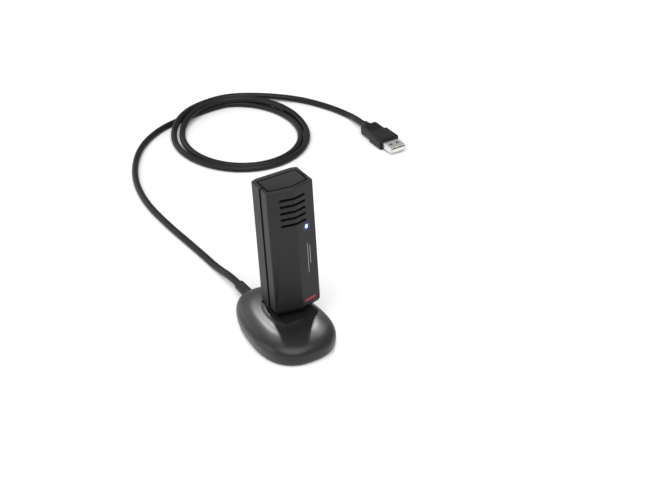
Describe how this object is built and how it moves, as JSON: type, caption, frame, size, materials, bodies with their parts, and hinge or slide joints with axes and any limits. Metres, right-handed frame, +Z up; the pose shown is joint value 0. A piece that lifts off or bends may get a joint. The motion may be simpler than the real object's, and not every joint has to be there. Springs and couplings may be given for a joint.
{
  "type": "usb wifi adapter",
  "caption": "Upright USB wifi adapter with a vee front, top vents and a status lamp, standing in a low pebble-shaped dock on a coiled extension lead.",
  "frame": {"origin": "centre of the dock's footprint, on the table", "axes": "+Z up, -Y towards the adapter's face, +X to the right seen from the front"},
  "size_m": [0.2066, 0.3394, 0.0975],
  "materials": {
    "adapter_black": "fine spark-textured",
    "antenna_metal": "stamped",
    "base_black": "matte",
    "bezel_black": "matte",
    "board_green": "solder mask",
    "can_metal": "tinned",
    "capacitor_tan": "fired",
    "chip_black": "moulded epoxy",
    "contact_gold": "gold plated",
    "cooler_metal": "extruded",
    "cord_black": "soft sheen",
    "core_black": "moulded",
    "core_white": "moulded",
    "crystal_metal": "plated",
    "dock_black": "satin",
    "grip_black": "satin",
    "inductor_grey": "ferrite",
    "lamp_clear": "clear moulded",
    "led_blue": "lit",
    "pad_grey": "soft",
    "plug_steel": "bright nickel",
    "rubber_black": "matte",
    "screw_steel": "zinc plated",
    "socket_steel": "tinned",
    "top_black": "fine spark-textured",
    "weight_steel": "rough cast",
    "wire_red": "insulated wire"
  },
  "bodies": {
    "dock": {"dock_shell": "dock_black", "base_plate": "base_black", "rubber_feet": "rubber_black", "base_screws": "screw_steel", "ballast_weight": "weight_steel", "socket_bezel": "bezel_black", "socket_shell": "socket_steel", "socket_tongue": "core_black", "socket_contacts": "contact_gold", "dock_board": "board_green", "cord_boot": "cord_black", "cord_tail": "cord_black", "cord_wires": "wire_red", "cord_clamp": "base_black", "clamp_screws": "screw_steel", "cord_lead_in": "cord_black", "cord_coil": "cord_black", "cord_lead_out": "cord_black", "cord_plug_neck": "cord_black", "cord_plug_grip": "grip_black", "cord_plug_case": "plug_steel", "cord_plug_core": "core_white", "cord_plug_contacts": "contact_gold"},
    "adapter": {"front_shell": "adapter_black", "rear_shell": "adapter_black", "top_plate": "top_black", "light_pipe": "lamp_clear", "status_led": "led_blue", "main_board": "board_green", "board_screws": "screw_steel", "wifi_chip": "chip_black", "shield_can": "can_metal", "thermal_pad": "pad_grey", "heat_spreader": "cooler_metal", "antenna_left": "antenna_metal", "antenna_right": "antenna_metal", "crystal": "crystal_metal", "flash_chip": "chip_black", "power_inductors": "inductor_grey", "capacitors": "capacitor_tan", "adapter_plug_case": "plug_steel", "adapter_plug_core": "core_black", "adapter_plug_contacts": "contact_gold"}
  },
  "joints": [
    {"name": "adapter_lift", "type": "slide", "parent": "dock", "child": "adapter", "axis": [0, 0, 1], "range_m": [0, 0.02]}
  ]
}
